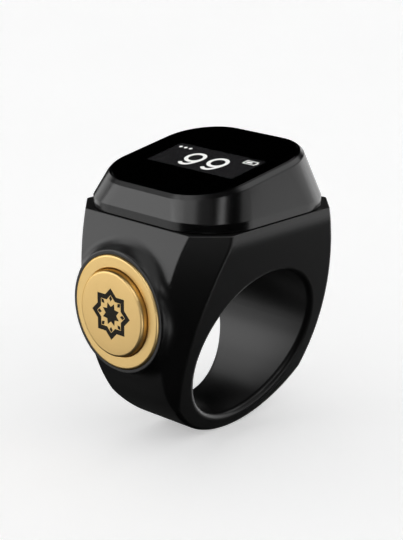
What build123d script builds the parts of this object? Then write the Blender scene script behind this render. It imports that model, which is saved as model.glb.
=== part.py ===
"""Digital tally counter worn as a finger ring, in millimetres.

The finger lies along Y through the origin, +Z points up to the display and the button faces -X.
Sizes of the button and charging stacks are distances out from the finger axis.
"""
import math
import os

from build123d import *

# Ring body
BORE_RADIUS = 10.0
BAND_THICKNESS = 2.3
BAND_CENTRE_RISE = 2.2
SIDE_BULGE = 0.25
SIDE_BULGE_HEIGHT = 7.2
SHOULDER_DRAW_IN = 2.37
SHOULDER_HALF_DEPTH = 12.6
SHOULDER_RIM = 1.5
RIM_BLEND = 6.0
FACE_DRAFT_DEGREES = 17.5
FACE_BOW = 0.4
CORNER_CUT = 5.119
CORNER_REACH_HEIGHT = 10.0
CORNER_FOOT_DROP = 3.9
CORNER_ROUND = 0.6
BORE_EDGE_ROUND = 0.7
SHOULDER_ROUND = 0.12

# Battery and the bay that holds it
BAY_ROOF_WALL = 1.6
BAY_SIDE_WALL = 1.38
BAY_END_WALL = 1.0
BAY_CORNER = 3.5
CELL_TAPE = 0.2
CELL_THICKNESS = 3.4
CELL_HEADROOM = 0.8
CELL_SIDE_GAP = 0.4
CELL_END_GAP = 0.6
CELL_EDGE_ROUND = 0.9
CELL_TAPE_INSET = 1.2
TAB_THICKNESS = 0.12
TAB_WIDTH = 1.5
TAB_PITCH = 5.0
TAB_STANDOFF = 0.3
TAB_DROP = 2.2

# Main board and what stands on it
BOARD_GAP = 0.3
BOARD_CORNER = 1.3
BOARD_THICKNESS = 0.8
POST_RADIUS = 1.4
POST_INSET = 1.1
CONNECTOR_DEPTH = 2.0
CONNECTOR_HALF_Y = 3.7
CONNECTOR_HEIGHT = 1.0
CONNECTOR_SLOT_DEPTH = 1.0
CONNECTOR_SLOT_GAP = 0.03
CHIP_GAP = 0.34
PROCESSOR_SIZE = (4.0, 4.0, 0.6)
PROCESSOR_INSET = 3.3
CHARGER_SIZE = (2.0, 2.0, 0.5)
CHARGER_INSET = 3.5
CRYSTAL_SIZE = (2.0, 1.6, 0.5)
CRYSTAL_CHIP_GAP = 0.6
CRYSTAL_INSET = 2.0
ANTENNA_SIZE = (3.2, 1.6, 1.2)
ANTENNA_SCREW_GAP = 0.85
ANTENNA_INSET = 1.2
PASSIVE_SIZE = (1.0, 0.5, 0.5)
PASSIVE_X = -4.5
PASSIVE_INSET = 1.2
PASSIVE_PITCH = 1.6
PASSIVE_COUNT = 6
SCREW_RADIUS = 0.5
SCREW_LENGTH = 3.2
SCREW_HEAD_RADIUS = 0.95
SCREW_HEAD_HEIGHT = 0.5
SCREW_CROSS_LENGTH = 1.1
SCREW_CROSS_WIDTH = 0.22
SCREW_CROSS_DEPTH = 0.25
SCREW_GAP = 0.03

# Vibration motor
MOTOR_EDGE_GAP = 1.0
MOTOR_RADIUS = 3.5
MOTOR_BASE = 0.2
MOTOR_HEIGHT = 2.2
MOTOR_WALL = 0.2
MOTOR_SHAFT_RADIUS = 0.4
ROTOR_BORE_GAP = 0.05
ROTOR_HUB_RADIUS = 1.0
ROTOR_RIM_GAP = 0.4
ROTOR_END_GAP = 0.25

# Button, seal and its seat in the boss
BUTTON_HEIGHT = 6.15
BUTTON_TRAVEL = 0.25
BOSS_SHARE = 0.619
BOSS_PROUD = 1.02
BOSS_RIM = 0.57
BOSS_EDGE_ROUND = 0.25
BOSS_BLEND = 2.0
TRIM_PROUD = 0.24
TRIM_DEPTH = 1.3
TRIM_WIDTH = 1.78
TRIM_OUTER_ROUND = 0.35
TRIM_INNER_ROUND = 0.15
CAP_PROUD = 0.8
CAP_EDGE_ROUND = 0.4
CAP_SLIDE_GAP = 0.1
CAP_FLANGE_LIP = 0.9
CAP_FLANGE_THICKNESS = 0.6
CAP_FLANGE_GAP = 0.2
CAP_STOP_GAP = 0.04
CAP_FLOOR_GAP = 0.1
STEM_RADIUS = 1.2
STEM_SLIDE_GAP = 0.05
SEAL_CORD_RADIUS = 0.43
SEAL_STEM_GAP = 0.06
GLUE_GAP = 0.03

# Push switch and the slots for the two upright boards
CONTACT_GAP = 0.02
SLOT_BORE_WALL = 0.67
SLOT_WIDTH = 1.75
SLOT_END_WALL = 1.95
SLOT_BOARD_GAP = 0.3
SLOT_FOOT_GAP = 0.1
SWITCH_HALF_Y = 1.6
SWITCH_HALF_Z = 1.45
SWITCH_FOOT_ROOM = 0.3
SWITCH_DEPTH = 0.75
SWITCH_COVER = 0.2
SWITCH_FLOOR = 0.15
PLUNGER_RADIUS = 0.75
PLUNGER_GAP = 0.05
PLUNGER_FLANGE_LIP = 0.3
PLUNGER_FLANGE = 0.09
SWITCH_WELL_GAP = 0.15
DOME_RIM_GAP = 0.1
DOME_SHEET = 0.05
SIDE_BOARD_THICKNESS = 0.6
SIDE_BOARD_HEADROOM = 0.4
SWITCH_BOARD_HALF_Y = 2.8

# Charging contacts on the far side
CHARGE_SEAT_DEPTH = 0.58
CHARGE_SEAT_WIDTH = 5.2
PIN_PITCH_SHARE = 0.385
PIN_RADIUS_SHARE = 0.147
PIN_SHANK_SHARE = 0.7
PIN_HEAD = 0.8
PIN_SUNK = 0.1
MAGNET_RADIUS_SHARE = 0.235
MAGNET_THICKNESS = 1.7

# Flexible circuits
FLEX_THICKNESS = 0.15
FLEX_BEND_RADIUS = 1.2
FLEX_HALF_WIDTH = 1.5
FLEX_LAP = 1.6
FLEX_REACH = 3.25

# Bezel, gasket and cover glass
GASKET_THICKNESS = 0.1
GASKET_INSET = 0.3
GASKET_LAP = 0.15
BEZEL_SETBACK_X = 0.3
BEZEL_SETBACK_Y = 0.32
BEZEL_CORNER_GROWTH = 0.9
BEZEL_SKIRT = 1.05
BEZEL_LEAN_X = 1.28
BEZEL_LEAN_Y = 1.38
BEZEL_RIM_WIDTH_X = 0.7
BEZEL_RIM_WIDTH_Y = 0.8
BEZEL_RIM_DROP = 0.45
BEZEL_RIM_LIP = 0.2
BEZEL_EDGE_ROUND = 0.15
BEZEL_INNER_CORNER = 1.5
TONGUE_DEPTH = 0.8
TONGUE_GAP = 0.1
TONGUE_WALL = 1.5
GLASS_TILT_DEGREES = 9.17
GLASS_SHIFT = -0.49
GLASS_LIFT = 4.54
GLASS_CORNER = 6.2
GLASS_THICKNESS = 0.9
GLASS_EDGE_ROUND = 0.12
GLASS_GAP = 0.06
GLASS_TAPE_THICKNESS = 0.15
GLASS_TAPE_INSET = 0.15
GLASS_LEDGE = 0.8
GLASS_LEDGE_WIDTH = 1.75
WINDOW_CORNER = 3.6

# Display panel
PANEL_HALF_X = 4.6
PANEL_END_GAP = 0.35
PANEL_SHEET = 0.6
PANEL_LEDGE = 1.6
PANEL_TAPE = 0.1
DRIVER_WIDTH = 0.8
DRIVER_HALF_Y = 4.5
DRIVER_THICKNESS = 0.3
DRIVER_GAP = 0.1
TAIL_THICKNESS = 0.12
TAIL_HALF_WIDTH = 3.2
TAIL_BOND = 0.5
TAIL_STRAIGHT = 1.2
TAIL_RUN = 0.6

# Allowance that carries a cut past the surface it opens, and the width of an edge search
OVERRUN = 4.0
PICK_TOLERANCE = 0.02

# Body levels and widths
BAY_FLOOR = BORE_RADIUS + BAY_ROOF_WALL
CELL_FOOT = BAY_FLOOR + CELL_TAPE
POST_TOP = CELL_FOOT + CELL_THICKNESS + CELL_HEADROOM
BOARD_TOP = POST_TOP + BOARD_THICKNESS
SHOULDER_HEIGHT = BOARD_TOP
BAND_RADIUS = BORE_RADIUS + BAND_THICKNESS + BAND_CENTRE_RISE
BAND_FOOT = -(BORE_RADIUS + BAND_THICKNESS)
SIDE_HALF_WIDTH = BAND_RADIUS + SIDE_BULGE
SHOULDER_HALF_WIDTH = SIDE_HALF_WIDTH - SHOULDER_DRAW_IN
CORNER_REACH = (SIDE_HALF_WIDTH + SHOULDER_HALF_DEPTH - CORNER_CUT) / math.sqrt(2)
RIM_FOOT = SHOULDER_HEIGHT - SHOULDER_RIM
FACE_DRAFT = math.radians(FACE_DRAFT_DEGREES)
BLANK_REACH = SIDE_HALF_WIDTH + SHOULDER_HALF_DEPTH


def face_half_depth(height):
    """Half depth of the body at a height below the upright rim, under the bow of the end faces."""
    return SHOULDER_HALF_DEPTH - math.tan(FACE_DRAFT) * (RIM_FOOT - height)


# Bay, bezel and glass outlines
BAY_HALF_X = SHOULDER_HALF_WIDTH - BAY_SIDE_WALL
BAY_HALF_Y = face_half_depth(BAY_FLOOR) - BAY_END_WALL
ROOM_HALF_X = BAY_HALF_X - TONGUE_GAP - TONGUE_WALL
ROOM_HALF_Y = BAY_HALF_Y - TONGUE_GAP - TONGUE_WALL
BEZEL_FOOT = SHOULDER_HEIGHT + GASKET_THICKNESS
BEZEL_SKIRT_TOP = BEZEL_FOOT + BEZEL_SKIRT
BEZEL_HALF_X = SHOULDER_HALF_WIDTH - BEZEL_SETBACK_X
BEZEL_HALF_Y = SHOULDER_HALF_DEPTH - BEZEL_SETBACK_Y
BROW_HALF_X = BEZEL_HALF_X - BEZEL_LEAN_X
BROW_HALF_Y = BEZEL_HALF_Y - BEZEL_LEAN_Y
BEZEL_CORNER = GLASS_CORNER + BEZEL_CORNER_GROWTH
GLASS_HALF_X = BROW_HALF_X - BEZEL_RIM_WIDTH_X
GLASS_HALF_Y = BROW_HALF_Y - BEZEL_RIM_WIDTH_Y
GLASS_HEIGHT = BEZEL_SKIRT_TOP + GLASS_LIFT
GLASS_SEAT = GLASS_THICKNESS + GLASS_TAPE_THICKNESS
BEZEL_ROOF = GLASS_SEAT + GLASS_LEDGE
WINDOW_HALF_X = GLASS_HALF_X - GLASS_LEDGE_WIDTH
WINDOW_HALF_Y = GLASS_HALF_Y - GLASS_LEDGE_WIDTH
PANEL_HALF_Y = WINDOW_HALF_Y - PANEL_END_GAP
PANEL_FRONT = GLASS_THICKNESS + PANEL_TAPE
PANEL_MIDDLE = PANEL_FRONT + PANEL_SHEET
PANEL_BACK = PANEL_MIDDLE + PANEL_SHEET

# Board, cell and motor places
BOARD_HALF_X = ROOM_HALF_X - BOARD_GAP
BOARD_HALF_Y = ROOM_HALF_Y - BOARD_GAP
POST_X = BOARD_HALF_X - POST_INSET
POST_Y = BOARD_HALF_Y - POST_INSET
CELL_HALF_X = POST_X - POST_RADIUS - CELL_SIDE_GAP
CELL_HALF_Y = BOARD_HALF_Y - CELL_END_GAP
MOTOR_X = BOARD_HALF_X - MOTOR_RADIUS - MOTOR_EDGE_GAP
TAIL_LEVEL = BOARD_TOP + CONNECTOR_HEIGHT / 2

# Side slots, out from the finger axis
SLOT_FLOOR = BUTTON_HEIGHT - SWITCH_HALF_Z - SWITCH_FOOT_ROOM
SLOT_INNER = math.sqrt(BORE_RADIUS**2 - SLOT_FLOOR**2) + SLOT_BORE_WALL
SLOT_OUTER = SLOT_INNER + SLOT_WIDTH
SIDE_BOARD_FRONT = SLOT_INNER + SIDE_BOARD_THICKNESS
SIDE_BOARD_FOOT = SLOT_FLOOR + SLOT_FOOT_GAP
SIDE_BOARD_TOP = BAY_FLOOR - SIDE_BOARD_HEADROOM
CHARGE_SLOT_HALF_Y = face_half_depth(SLOT_FLOOR) - SLOT_END_WALL
CHARGE_BOARD_HALF_Y = CHARGE_SLOT_HALF_Y - SLOT_BOARD_GAP
SWITCH_SLOT_HALF_Y = SWITCH_BOARD_HALF_Y + SLOT_BOARD_GAP
CHARGE_HEIGHT = SIDE_BULGE_HEIGHT
CHARGE_SEAT = SIDE_HALF_WIDTH - CHARGE_SEAT_DEPTH
CHARGE_SEAT_LENGTH = 2 * (CHARGE_BOARD_HALF_Y - SLOT_BOARD_GAP)
MAGNET_RADIUS = CHARGE_BOARD_HALF_Y * MAGNET_RADIUS_SHARE
MAGNET_PITCH = 2 * (CHARGE_BOARD_HALF_Y - MAGNET_RADIUS)
PIN_PITCH = MAGNET_PITCH * PIN_PITCH_SHARE
PIN_RADIUS = CHARGE_BOARD_HALF_Y * PIN_RADIUS_SHARE
PIN_SHANK_RADIUS = PIN_RADIUS * PIN_SHANK_SHARE

# Button stack, out from the finger axis
BOSS_RADIUS = SHOULDER_HALF_DEPTH * BOSS_SHARE
BOSS_FACE = SIDE_HALF_WIDTH + BOSS_PROUD
TRIM_RADIUS = BOSS_RADIUS - BOSS_RIM
TRIM_FACE = BOSS_FACE + TRIM_PROUD
TRIM_SEAT = TRIM_FACE - TRIM_DEPTH
CAP_FACE = TRIM_FACE + CAP_PROUD
CAP_RADIUS = TRIM_RADIUS - TRIM_WIDTH
CAP_FLANGE_RADIUS = CAP_RADIUS + CAP_FLANGE_LIP
TRIM_BORE_RADIUS = CAP_RADIUS + CAP_SLIDE_GAP
FLANGE_FRONT = TRIM_SEAT - CAP_STOP_GAP
FLANGE_BACK = FLANGE_FRONT - CAP_FLANGE_THICKNESS
CAP_WELL_FLOOR = FLANGE_BACK - BUTTON_TRAVEL - CAP_FLOOR_GAP
SEAL_CENTRE_RADIUS = STEM_RADIUS + SEAL_STEM_GAP + SEAL_CORD_RADIUS
SEAL_GLAND_RADIUS = SEAL_CENTRE_RADIUS + SEAL_CORD_RADIUS + CONTACT_GAP
SEAL_GLAND_FLOOR = CAP_WELL_FLOOR - 2 * SEAL_CORD_RADIUS - CONTACT_GAP
STEM_TIP = SLOT_OUTER + CONTACT_GAP
PLUNGER_TIP = STEM_TIP - CONTACT_GAP
SWITCH_FRONT = SIDE_BOARD_FRONT + SWITCH_DEPTH
SWITCH_WELL_ROOF = SWITCH_FRONT - SWITCH_COVER
SWITCH_WELL_FLOOR = SIDE_BOARD_FRONT + SWITCH_FLOOR
PLUNGER_SHELF = SWITCH_WELL_ROOF - CONTACT_GAP
PLUNGER_FOOT = PLUNGER_SHELF - PLUNGER_FLANGE
PLUNGER_FLANGE_RADIUS = PLUNGER_RADIUS + PLUNGER_FLANGE_LIP
SWITCH_WELL_RADIUS = PLUNGER_FLANGE_RADIUS + SWITCH_WELL_GAP
DOME_RADIUS = SWITCH_WELL_RADIUS - DOME_RIM_GAP
DOME_CROWN = PLUNGER_FOOT - CONTACT_GAP

BUTTON_PLANE = Plane(origin=(0, 0, BUTTON_HEIGHT), x_dir=(0, -1, 0), z_dir=(-1, 0, 0))
CHARGE_PLANE = Plane(origin=(0, 0, CHARGE_HEIGHT), x_dir=(0, 1, 0), z_dir=(1, 0, 0))
BORE_PLANE = Plane(origin=(0, 0, 0), x_dir=(1, 0, 0), z_dir=(0, -1, 0))
TILT = math.radians(GLASS_TILT_DEGREES)
GLASS_PLANE = Plane(
    origin=(GLASS_SHIFT, 0, GLASS_HEIGHT),
    x_dir=(math.cos(TILT), 0, math.sin(TILT)),
    z_dir=(-math.sin(TILT), 0, math.cos(TILT)),
)
FROM_FLOOR = (Align.CENTER, Align.CENTER, Align.MIN)
EDGE_SHARES = (0, 0.3, 0.7, 1)


def mirrored(point):
    """The same point on the other side of the middle plane."""
    return (-point[0], point[1])


def on_arc(centre_x, centre_z, radius, height):
    """Outer point of an upright arc at a height."""
    return (centre_x + math.sqrt(radius**2 - (height - centre_z) ** 2), height)


def block(x_span, y_span, z_span):
    """Box between two values on each axis."""
    size = [span[1] - span[0] for span in (x_span, y_span, z_span)]
    middle = [(span[0] + span[1]) / 2 for span in (x_span, y_span, z_span)]
    return Pos(*middle) * Box(*size)


def rounded_prism(half_x, half_y, corner, low, high):
    """Upright prism with rounded corners between two heights."""
    outline = RectangleRounded(2 * half_x, 2 * half_y, corner)
    return Pos(0, 0, low) * extrude(outline, high - low)


def disc(radius, low, high):
    """Round disc about the local Z axis between two levels."""
    return Pos(0, 0, low) * Cylinder(radius, high - low, align=FROM_FLOOR)


def strip(path, thickness, half_width):
    """Thin band that follows a path drawn in the XZ plane, spread evenly to both sides along Y."""
    return extrude(Plane.XZ * trace(path, thickness), half_width, both=True)


def as_group(pieces):
    """Several equal pieces kept as separate solids of one node."""
    return Compound(children=list(pieces))


def side_outline():
    """Outline seen along the finger: round band, bowed sides and flat shoulder."""
    rise = SIDE_BULGE_HEIGHT - BAND_CENTRE_RISE
    low_radius = (SIDE_HALF_WIDTH**2 + rise**2 - BAND_RADIUS**2) / (2 * SIDE_BULGE)
    turn = math.atan2(rise, low_radius - SIDE_HALF_WIDTH)
    join = (BAND_RADIUS * math.cos(turn), BAND_CENTRE_RISE - BAND_RADIUS * math.sin(turn))
    climb = SHOULDER_HEIGHT - SIDE_BULGE_HEIGHT
    high_radius = (climb**2 + SHOULDER_DRAW_IN**2) / (2 * SHOULDER_DRAW_IN)
    low_level = (join[1] + SIDE_BULGE_HEIGHT) / 2
    high_level = (SHOULDER_HEIGHT + SIDE_BULGE_HEIGHT) / 2
    low_middle = on_arc(SIDE_HALF_WIDTH - low_radius, SIDE_BULGE_HEIGHT, low_radius, low_level)
    high_middle = on_arc(SIDE_HALF_WIDTH - high_radius, SIDE_BULGE_HEIGHT, high_radius, high_level)
    shoulder = (SHOULDER_HALF_WIDTH, SHOULDER_HEIGHT)
    widest = (SIDE_HALF_WIDTH, SIDE_BULGE_HEIGHT)
    lines = [
        Line(mirrored(shoulder), shoulder),
        ThreePointArc(shoulder, high_middle, widest),
        ThreePointArc(widest, low_middle, join),
        ThreePointArc(join, (0, BAND_FOOT), mirrored(join)),
        ThreePointArc(mirrored(join), mirrored(low_middle), mirrored(widest)),
        ThreePointArc(mirrored(widest), mirrored(high_middle), mirrored(shoulder)),
    ]
    return make_face(lines)


def end_outline():
    """Outline seen from the side: bowed faces that lean in towards the band, blended into an upright rim."""
    shoulder = (SHOULDER_HALF_DEPTH, SHOULDER_HEIGHT)
    rim_foot = (SHOULDER_HALF_DEPTH, RIM_FOOT)
    foot = (face_half_depth(BAND_FOOT), BAND_FOOT)
    low = (foot[0], BAND_FOOT - OVERRUN)
    bow = (FACE_BOW * math.cos(FACE_DRAFT), -FACE_BOW * math.sin(FACE_DRAFT))
    middle = ((rim_foot[0] + foot[0]) / 2 + bow[0], (rim_foot[1] + foot[1]) / 2 + bow[1])
    lines = [
        Line(mirrored(shoulder), shoulder),
        Line(shoulder, rim_foot),
        ThreePointArc(rim_foot, middle, foot),
        Line(foot, low),
        Line(low, mirrored(low)),
        Line(mirrored(low), mirrored(foot)),
        ThreePointArc(mirrored(foot), mirrored(middle), mirrored(rim_foot)),
        Line(mirrored(rim_foot), mirrored(shoulder)),
    ]
    outline = make_face(lines)
    kinks = [corner for corner in outline.vertices() if abs(corner.Y - RIM_FOOT) < PICK_TOLERANCE]
    return fillet(kinks, RIM_BLEND)


def corner_outline():
    """Oval that trims the four upright corners to curved facets."""
    half_height = CORNER_REACH_HEIGHT - BAND_FOOT + CORNER_FOOT_DROP
    return Pos(0, CORNER_REACH_HEIGHT) * Ellipse(CORNER_REACH, half_height)


def body_blank():
    """Outer shape of the ring body before any opening is cut."""
    blank = extrude(Plane.XZ * side_outline(), BLANK_REACH, both=True)
    blank = blank & extrude(Plane.YZ * end_outline(), BLANK_REACH, both=True)
    for side in (1, -1):
        diagonal = Plane(origin=(0, 0, 0), x_dir=(1, side, 0), z_dir=(side, -1, 0))
        blank = blank & extrude(diagonal * corner_outline(), BLANK_REACH, both=True)
    blank = blank.solid()
    below = SHOULDER_HEIGHT - PICK_TOLERANCE
    curved = [edge for edge in blank.edges() if edge.geom_type != GeomType.LINE]
    return blank.fillet(CORNER_ROUND, [edge for edge in curved if edge.center().Z < below])


def on_circle(edge, plane, radius):
    """Whether an edge runs at one radius around a plane's Z axis."""
    spots = [plane.to_local_coords(edge.position_at(share)) for share in EDGE_SHARES]
    return all(abs(math.hypot(spot.X, spot.Y) - radius) < PICK_TOLERANCE for spot in spots)


def add_boss(body):
    """Round boss for the button, blended into the side."""
    boss = disc(BOSS_RADIUS, SLOT_OUTER, BOSS_FACE)
    boss = boss.fillet(BOSS_EDGE_ROUND, boss.edges().group_by(Axis.Z)[-1])
    body = (body + BUTTON_PLANE * boss).solid()
    face_x = -(BOSS_FACE - BOSS_EDGE_ROUND - PICK_TOLERANCE)
    foot = [e for e in body.edges() if on_circle(e, BUTTON_PLANE, BOSS_RADIUS) and e.center().X > face_x]
    return body.fillet(BOSS_BLEND, foot)


def add_bore(body):
    """Finger bore with softened edges."""
    body = (body - BORE_PLANE * Cylinder(BORE_RADIUS, 2 * BLANK_REACH)).solid()
    rims = [e for e in body.edges() if on_circle(e, BORE_PLANE, BORE_RADIUS) and e.length > BORE_RADIUS]
    return body.fillet(BORE_EDGE_ROUND, rims)


def soften_shoulder(body):
    """Small round along the outer edge of the flat shoulder."""
    level = [e for e in body.edges() if abs(e.position_at(0).Z - SHOULDER_HEIGHT) < PICK_TOLERANCE]
    rim = [e for e in level if abs(e.position_at(1).Z - SHOULDER_HEIGHT) < PICK_TOLERANCE]
    return body.fillet(SHOULDER_ROUND, rim)


def button_well():
    """Stepped hole in the boss for the trim ring, cap, seal and stem."""
    mouth = BOSS_FACE + OVERRUN
    well = disc(TRIM_RADIUS + GLUE_GAP, TRIM_SEAT, mouth)
    well += disc(CAP_FLANGE_RADIUS + CAP_FLANGE_GAP, CAP_WELL_FLOOR, mouth)
    well += disc(SEAL_GLAND_RADIUS, SEAL_GLAND_FLOOR, mouth)
    well += disc(STEM_RADIUS + STEM_SLIDE_GAP, SLOT_INNER, mouth)
    return BUTTON_PLANE * well


def charge_openings():
    """Shallow seat for the charging plug, pin holes and magnet pockets."""
    seat = Pos(0, 0, CHARGE_SEAT) * extrude(SlotOverall(CHARGE_SEAT_LENGTH, CHARGE_SEAT_WIDTH), OVERRUN)
    for side in (1, -1):
        pin_spot = Pos(side * PIN_PITCH / 2, 0, 0)
        head_foot = CHARGE_SEAT - PIN_SUNK - PIN_HEAD
        seat += pin_spot * disc(PIN_SHANK_RADIUS + GLUE_GAP, SLOT_INNER, CHARGE_SEAT + OVERRUN)
        seat += pin_spot * disc(PIN_RADIUS + GLUE_GAP, head_foot, CHARGE_SEAT + OVERRUN)
        magnet_top = SLOT_OUTER + MAGNET_THICKNESS
        magnet_spot = Pos(side * MAGNET_PITCH / 2, 0, 0)
        seat += magnet_spot * disc(MAGNET_RADIUS + GLUE_GAP, SLOT_INNER, magnet_top)
    return CHARGE_PLANE * seat


def electronics_bay():
    """Open bay in the top of the body with a slot down each side."""
    mouth = SHOULDER_HEIGHT + OVERRUN
    bay = rounded_prism(BAY_HALF_X, BAY_HALF_Y, BAY_CORNER, BAY_FLOOR, mouth)
    switch_x = (-SLOT_OUTER, -SLOT_INNER)
    switch_y = (-SWITCH_SLOT_HALF_Y, SWITCH_SLOT_HALF_Y)
    bay += block(switch_x, switch_y, (SLOT_FLOOR, mouth))
    charge_x = (SLOT_INNER, SLOT_OUTER)
    charge_y = (-CHARGE_SLOT_HALF_Y, CHARGE_SLOT_HALF_Y)
    bay += block(charge_x, charge_y, (SLOT_FLOOR, mouth))
    return bay


def post_spots():
    """Centres of the four screw posts."""
    return [(POST_X * side, POST_Y * end) for side in (1, -1) for end in (1, -1)]


def make_ring_body():
    """Moulded body: band, faceted sides, boss, electronics bay and screw posts."""
    body = add_boss(soften_shoulder(add_bore(body_blank())))
    body = body - electronics_bay() - button_well() - charge_openings()
    for x, y in post_spots():
        body += Pos(x, y, 0) * disc(POST_RADIUS, BAY_FLOOR - CONTACT_GAP, POST_TOP)
    screw_foot = BOARD_TOP - SCREW_LENGTH - SCREW_GAP
    for x, y in post_spots():
        body -= Pos(x, y, 0) * disc(SCREW_RADIUS + SCREW_GAP, screw_foot, SHOULDER_HEIGHT)
    return body


def make_bezel():
    """Frame that carries the cover glass at a tilt: skirt, leaning wall, chamfered rim and a tongue."""
    foot = BEZEL_FOOT - TONGUE_DEPTH
    base = RectangleRounded(2 * BEZEL_HALF_X, 2 * BEZEL_HALF_Y, BEZEL_CORNER)
    brow = RectangleRounded(2 * BROW_HALF_X, 2 * BROW_HALF_Y, BEZEL_CORNER)
    rim_growth = GLASS_GAP + BEZEL_RIM_LIP
    rim_x = GLASS_HALF_X + rim_growth
    rim_y = GLASS_HALF_Y + rim_growth
    rim = RectangleRounded(2 * rim_x, 2 * rim_y, GLASS_CORNER + rim_growth)
    low = (Pos(0, 0, BEZEL_SKIRT_TOP) * base).face()
    middle = (GLASS_PLANE * Pos(0, 0, -BEZEL_RIM_DROP) * brow).face()
    high = (GLASS_PLANE * rim).face()
    shell = rounded_prism(BEZEL_HALF_X, BEZEL_HALF_Y, BEZEL_CORNER, BEZEL_FOOT, BEZEL_SKIRT_TOP)
    shell = shell + loft([low, middle], ruled=True) + loft([middle, high], ruled=True)
    shell = shell.solid()
    level = -BEZEL_RIM_DROP
    heights = [(e, GLASS_PLANE.to_local_coords(e.center()).Z) for e in shell.edges()]
    brows = [e for e, height in heights if abs(height - level) < PICK_TOLERANCE]
    skirts = [e for e in shell.edges() if abs(e.center().Z - BEZEL_SKIRT_TOP) < PICK_TOLERANCE]
    shell = shell.fillet(BEZEL_EDGE_ROUND, brows + skirts)
    tongue_x = BAY_HALF_X - TONGUE_GAP
    tongue_y = BAY_HALF_Y - TONGUE_GAP
    shell += rounded_prism(tongue_x, tongue_y, BAY_CORNER - TONGUE_GAP, foot, BEZEL_SKIRT_TOP)
    peak = GLASS_HEIGHT + GLASS_HALF_X
    room = rounded_prism(ROOM_HALF_X, ROOM_HALF_Y, BEZEL_INNER_CORNER, foot - OVERRUN, peak)
    roof = Pos(0, 0, -BEZEL_ROOF) * Box(2 * BLANK_REACH, 2 * BLANK_REACH, BLANK_REACH, align=FROM_FLOOR)
    shell = shell - (room - GLASS_PLANE * roof)
    pocket_x = GLASS_HALF_X + GLASS_GAP
    pocket_y = GLASS_HALF_Y + GLASS_GAP
    pocket = rounded_prism(pocket_x, pocket_y, GLASS_CORNER + GLASS_GAP, -GLASS_SEAT, OVERRUN)
    window = rounded_prism(WINDOW_HALF_X, WINDOW_HALF_Y, WINDOW_CORNER, -BEZEL_ROOF - OVERRUN, OVERRUN)
    return shell - GLASS_PLANE * pocket - GLASS_PLANE * window


def make_bezel_gasket():
    """Flat seal between the shoulder and the bezel, set in from both outer edges."""
    outer_x = BEZEL_HALF_X - GASKET_INSET
    outer_y = BEZEL_HALF_Y - GASKET_INSET
    gasket = rounded_prism(outer_x, outer_y, BEZEL_CORNER - GASKET_INSET, SHOULDER_HEIGHT, BEZEL_FOOT)
    inner_x = BAY_HALF_X + GASKET_LAP
    inner_y = BAY_HALF_Y + GASKET_LAP
    opening = rounded_prism(inner_x, inner_y, BAY_CORNER + GASKET_LAP, BAY_FLOOR, BEZEL_SKIRT_TOP)
    return gasket - opening


def make_cover_glass():
    """Square cover glass with round corners, flush with the bezel rim."""
    glass = rounded_prism(GLASS_HALF_X, GLASS_HALF_Y, GLASS_CORNER, -GLASS_THICKNESS, 0)
    glass = glass.fillet(GLASS_EDGE_ROUND, glass.edges().group_by(Axis.Z)[-1])
    return GLASS_PLANE * glass


def make_glass_tape():
    """Adhesive frame between the cover glass and the bezel ledge."""
    outer_x = GLASS_HALF_X - GLASS_TAPE_INSET
    outer_y = GLASS_HALF_Y - GLASS_TAPE_INSET
    tape = rounded_prism(outer_x, outer_y, GLASS_CORNER - GLASS_TAPE_INSET, -GLASS_SEAT, -GLASS_THICKNESS)
    inner_x = WINDOW_HALF_X + GLASS_TAPE_INSET
    inner_y = WINDOW_HALF_Y + GLASS_TAPE_INSET
    opening = rounded_prism(inner_x, inner_y, WINDOW_CORNER + GLASS_TAPE_INSET, -OVERRUN, OVERRUN)
    return GLASS_PLANE * (tape - opening)


def make_display_tape():
    """Clear adhesive sheet between the cover glass and the panel."""
    x_span = (-PANEL_HALF_X, PANEL_HALF_X)
    y_span = (-PANEL_HALF_Y, PANEL_HALF_Y)
    return GLASS_PLANE * block(x_span, y_span, (-PANEL_FRONT, -GLASS_THICKNESS))


def make_display_panel():
    """Display panel of two glass sheets; the rear one leaves a ledge for the driver and tail."""
    y_span = (-PANEL_HALF_Y, PANEL_HALF_Y)
    front = block((-PANEL_HALF_X, PANEL_HALF_X), y_span, (-PANEL_MIDDLE, -PANEL_FRONT))
    rear = block((PANEL_LEDGE - PANEL_HALF_X, PANEL_HALF_X), y_span, (-PANEL_BACK, -PANEL_MIDDLE))
    return GLASS_PLANE * (front + rear)


def make_display_driver():
    """Driver chip on the ledge of the panel."""
    high = PANEL_LEDGE - PANEL_HALF_X - DRIVER_GAP
    low = high - DRIVER_WIDTH
    y_span = (-DRIVER_HALF_Y, DRIVER_HALF_Y)
    return GLASS_PLANE * block((low, high), y_span, (-PANEL_MIDDLE - DRIVER_THICKNESS, -PANEL_MIDDLE))


def tail_path():
    """Display tail in the XZ plane: bond, start of bend, bend centre and radius, connector mouth."""
    lie = -PANEL_MIDDLE - TAIL_THICKNESS / 2
    bond = GLASS_PLANE.from_local_coords(Vector(TAIL_BOND - PANEL_HALF_X, 0, lie))
    bend = GLASS_PLANE.from_local_coords(Vector(-PANEL_HALF_X - TAIL_STRAIGHT, 0, lie))
    radius = (bend.Z - TAIL_LEVEL) / (1 + math.cos(TILT))
    centre = (bend.X + radius * math.sin(TILT), bend.Z - radius * math.cos(TILT))
    return (bond.X, bond.Z), (bend.X, bend.Z), centre, radius, centre[0] + TAIL_RUN


def make_display_tail():
    """Flexible tail from the panel's ledge round to the connector on the main board."""
    bond, bend, centre, radius, mouth = tail_path()
    turn = (math.pi - TILT) / 2
    halfway = (centre[0] - radius * math.sin(turn), centre[1] - radius * math.cos(turn))
    foot = (centre[0], TAIL_LEVEL)
    end = (mouth + CONNECTOR_SLOT_DEPTH - CONTACT_GAP, TAIL_LEVEL)
    path = [Line(bond, bend), ThreePointArc(bend, halfway, foot), Line(foot, end)]
    return strip(Wire(path), TAIL_THICKNESS, TAIL_HALF_WIDTH)


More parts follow.
